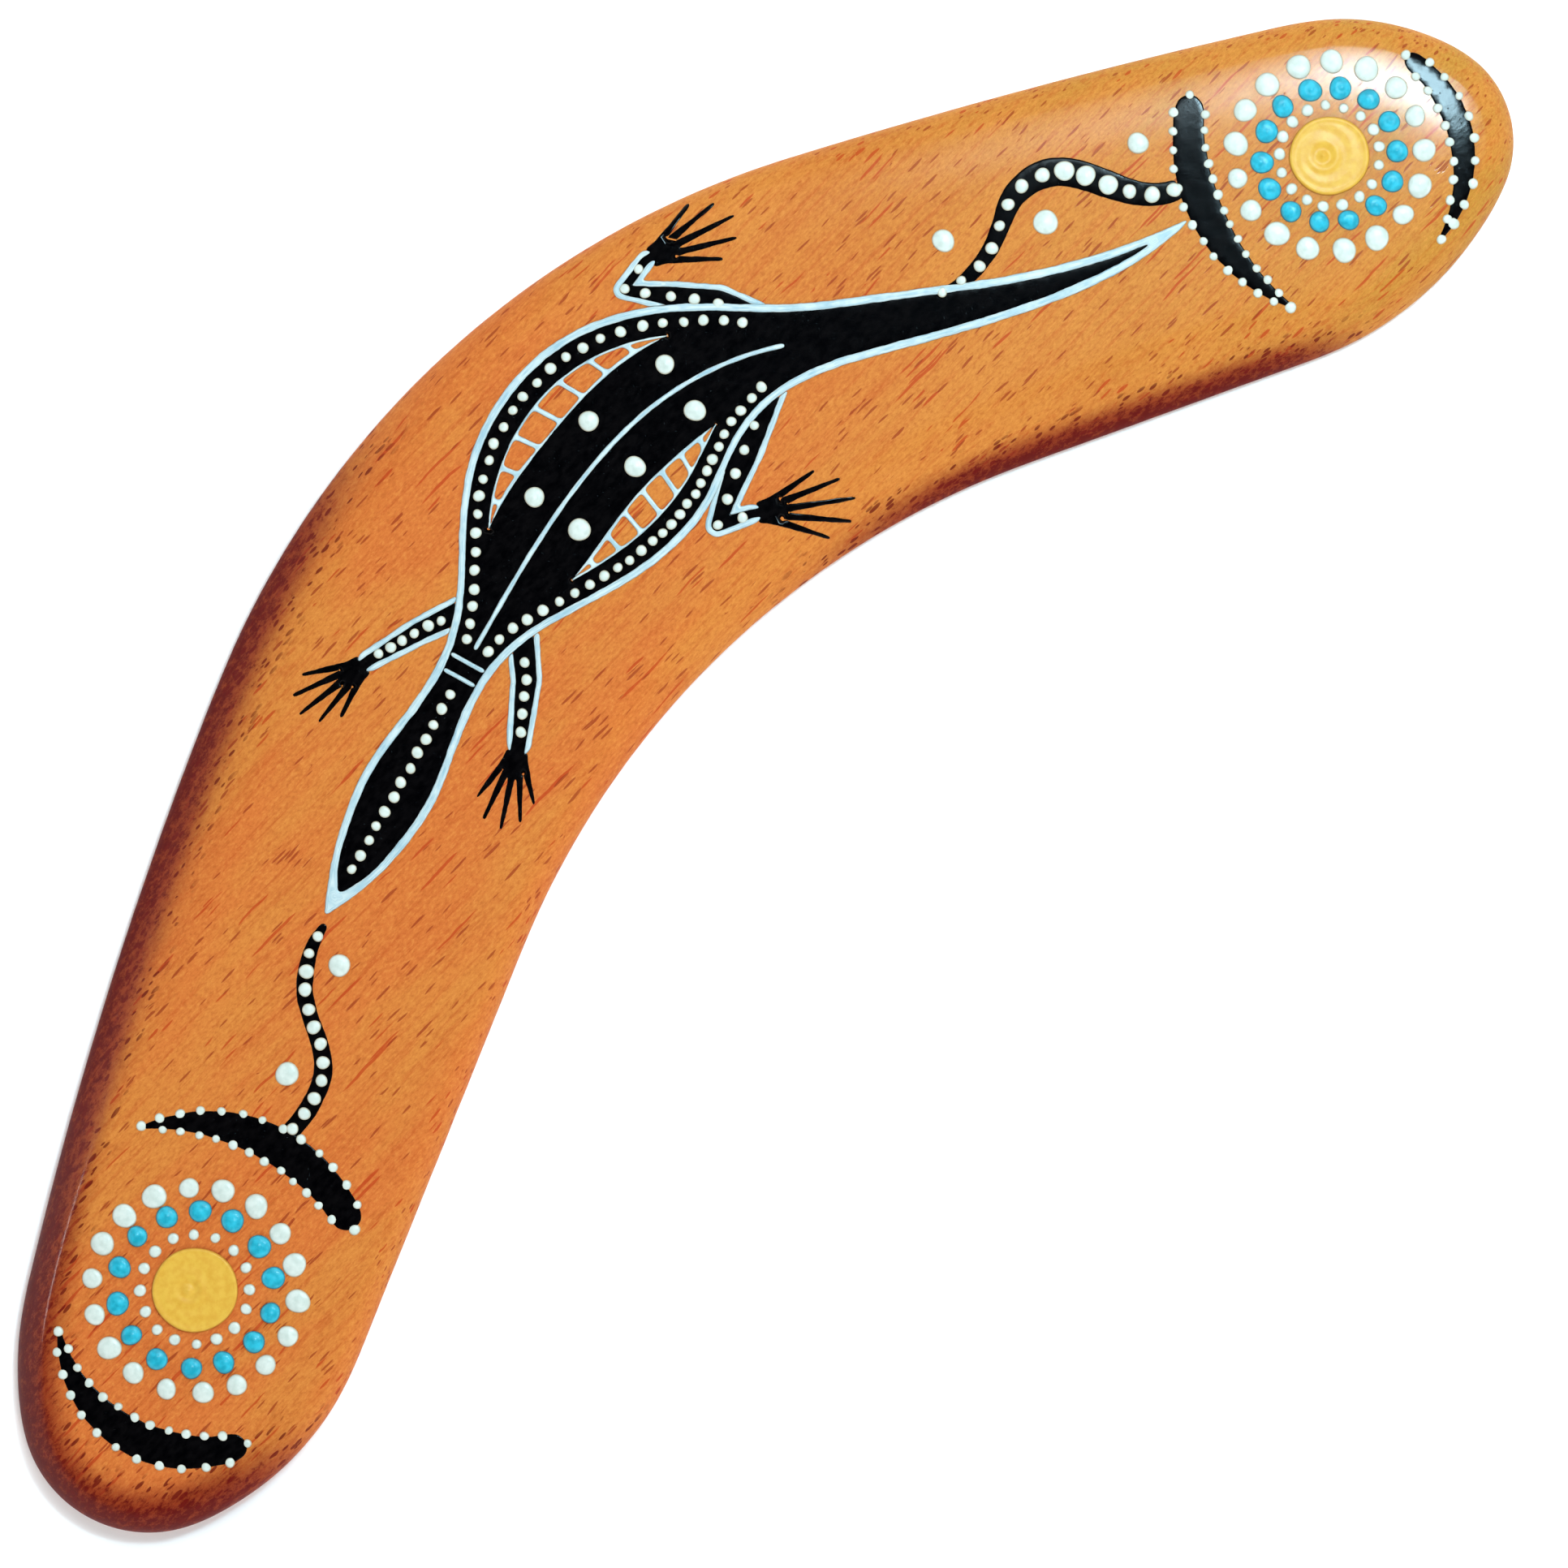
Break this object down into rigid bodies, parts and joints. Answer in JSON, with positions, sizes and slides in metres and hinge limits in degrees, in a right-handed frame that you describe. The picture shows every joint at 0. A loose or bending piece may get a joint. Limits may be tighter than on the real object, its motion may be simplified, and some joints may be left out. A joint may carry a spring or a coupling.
{
  "type": "boomerang",
  "caption": "Wide two-armed hardwood boomerang with a flat underside and a rounded face painted with raised dot rings, crescents and a lizard.",
  "frame": {"origin": "centre of the object's box, on the flat underside", "axes": "+X along the span from the left tip to the right tip, +Y towards the elbow, +Z out of the painted face"},
  "size_m": [0.3547, 0.1164, 0.0089],
  "materials": {
    "wood": "reddish hardwood under satin varnish",
    "black_paint": "smooth gloss acrylic",
    "pale_line_paint": "brushed acrylic, satin",
    "white_paint": "raised acrylic drops, satin",
    "turquoise_paint": "raised acrylic drops, gloss",
    "yellow_paint": "thick acrylic disc, gloss"
  },
  "bodies": {
    "root": {"front_left_leg": "black_paint", "front_left_leg_line": "pale_line_paint", "front_right_leg": "black_paint", "front_right_leg_line": "pale_line_paint", "hind_left_leg": "black_paint", "hind_left_leg_line": "pale_line_paint", "hind_right_leg": "black_paint", "hind_right_leg_line": "pale_line_paint", "left_inner_crescent": "black_paint", "left_inner_crescent_dots": "white_paint", "left_loose_drops": "white_paint", "left_outer_crescent": "black_paint", "left_outer_crescent_dots": "white_paint", "left_sun_blue_dots": "turquoise_paint", "left_sun_disc": "yellow_paint", "left_sun_inner_dots": "white_paint", "left_sun_outer_dots": "white_paint", "left_track": "black_paint", "left_track_dots": "white_paint", "lizard_body": "black_paint", "lizard_border_dots": "white_paint", "lizard_centre_line": "pale_line_paint", "lizard_head_dots": "white_paint", "lizard_leg_dots": "white_paint", "lizard_neck_bands": "pale_line_paint", "lizard_outline": "pale_line_paint", "lizard_trunk_drops": "white_paint", "lizard_window_lines": "pale_line_paint", "right_inner_crescent": "black_paint", "right_inner_crescent_dots": "white_paint", "right_loose_drops": "white_paint", "right_outer_crescent": "black_paint", "right_outer_crescent_dots": "white_paint", "right_sun_blue_dots": "turquoise_paint", "right_sun_disc": "yellow_paint", "right_sun_inner_dots": "white_paint", "right_sun_outer_dots": "white_paint", "right_track": "black_paint", "right_track_dots": "white_paint", "wooden_body": "wood"}
  },
  "joints": []
}
